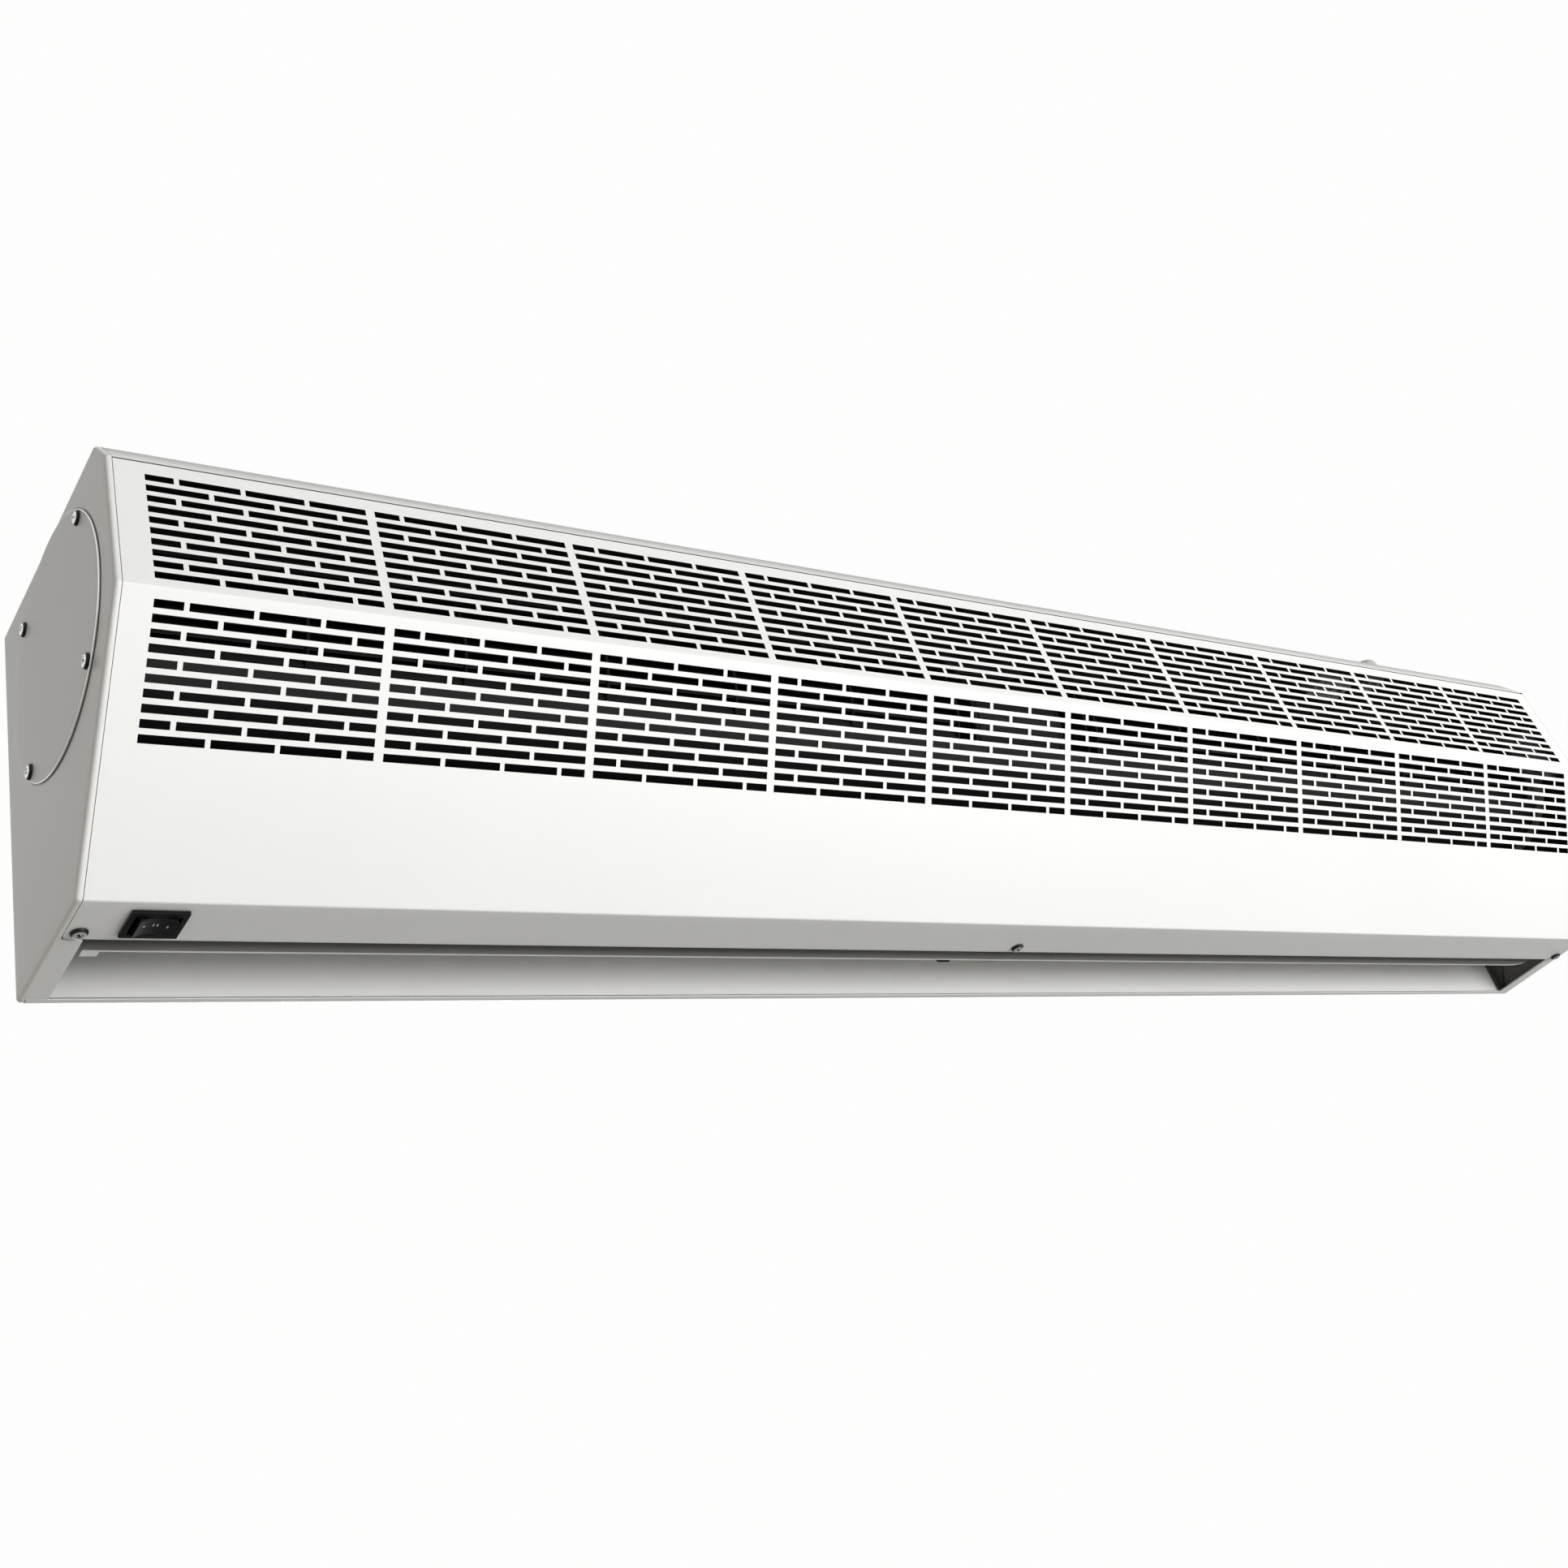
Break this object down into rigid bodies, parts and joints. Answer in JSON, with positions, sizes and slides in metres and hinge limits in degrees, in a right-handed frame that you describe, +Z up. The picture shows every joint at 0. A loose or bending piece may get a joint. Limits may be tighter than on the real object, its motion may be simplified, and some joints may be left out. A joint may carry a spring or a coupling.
{
  "type": "air curtain",
  "caption": "Long wall-hung air curtain: bent white casing with slotted front, underside outlet with a vane, rocker switch, and cross-flow wheels driven by a central motor.",
  "frame": {"origin": "middle of the back sheet's wall face", "axes": "+X along the length, to the right as seen from the front; +Y into the wall; +Z up"},
  "size_m": [1.2086, 0.165, 0.2297],
  "materials": {
    "white_paint": "semi-gloss powder coat",
    "zinc_sheet": "galvanised",
    "aluminium": "satin",
    "screw_steel": "polished",
    "black_plastic": "satin",
    "grey_plastic": "satin",
    "rubber": "matte",
    "motor_paint": "satin"
  },
  "bodies": {
    "casing": {"access_cover_left": "white_paint", "access_cover_right": "white_paint", "access_screw_left_1": "screw_steel", "access_screw_left_2": "screw_steel", "access_screw_left_3": "screw_steel", "access_screw_left_4": "screw_steel", "access_screw_right_1": "screw_steel", "access_screw_right_2": "screw_steel", "access_screw_right_3": "screw_steel", "access_screw_right_4": "screw_steel", "back_casing": "white_paint", "bearing_bridge_left": "zinc_sheet", "bearing_bridge_right": "zinc_sheet", "bearing_holder_left": "rubber", "bearing_holder_right": "rubber", "bearing_left": "screw_steel", "bearing_right": "screw_steel", "cable_gland": "black_plastic", "capacitor": "grey_plastic", "capacitor_clip": "zinc_sheet", "cover_screw_left": "screw_steel", "cover_screw_middle": "screw_steel", "cover_screw_right": "screw_steel", "end_plate_left": "white_paint", "end_plate_right": "white_paint", "front_cover": "white_paint", "gland_nut": "black_plastic", "motor_bell_left": "motor_paint", "motor_bell_right": "motor_paint", "motor_bracket_left": "zinc_sheet", "motor_bracket_right": "zinc_sheet", "motor_housing": "motor_paint", "motor_ring_left": "rubber", "motor_ring_right": "rubber", "scroll_sheet": "zinc_sheet", "switch_body": "black_plastic", "terminal_block": "grey_plastic", "tongue_plate": "zinc_sheet", "vane_pivot_left": "black_plastic", "vane_pivot_right": "black_plastic"},
    "rotor": {"impeller_hub_left": "zinc_sheet", "impeller_hub_right": "zinc_sheet", "impeller_left": "aluminium", "impeller_right": "aluminium", "motor_shaft": "screw_steel", "stub_shaft_left": "screw_steel", "stub_shaft_right": "screw_steel"},
    "vane": {"deflector_vane": "white_paint"},
    "rocker": {"switch_rocker": "black_plastic"}
  },
  "joints": [
    {"name": "rotor_spin", "type": "hinge", "parent": "casing", "child": "rotor", "pos_m": [0, -0.0825, 0.0375], "axis": [1, 0, 0], "continuous": true},
    {"name": "vane_tilt", "type": "hinge", "parent": "casing", "child": "vane", "pos_m": [0, -0.046, -0.0775], "axis": [1, 0, 0], "range_deg": [-10, 25]},
    {"name": "rocker_tilt", "type": "hinge", "parent": "casing", "child": "rocker", "pos_m": [-0.561, -0.0725, -0.1045], "axis": [0, 1, 0], "range_deg": [-12, 12]}
  ]
}
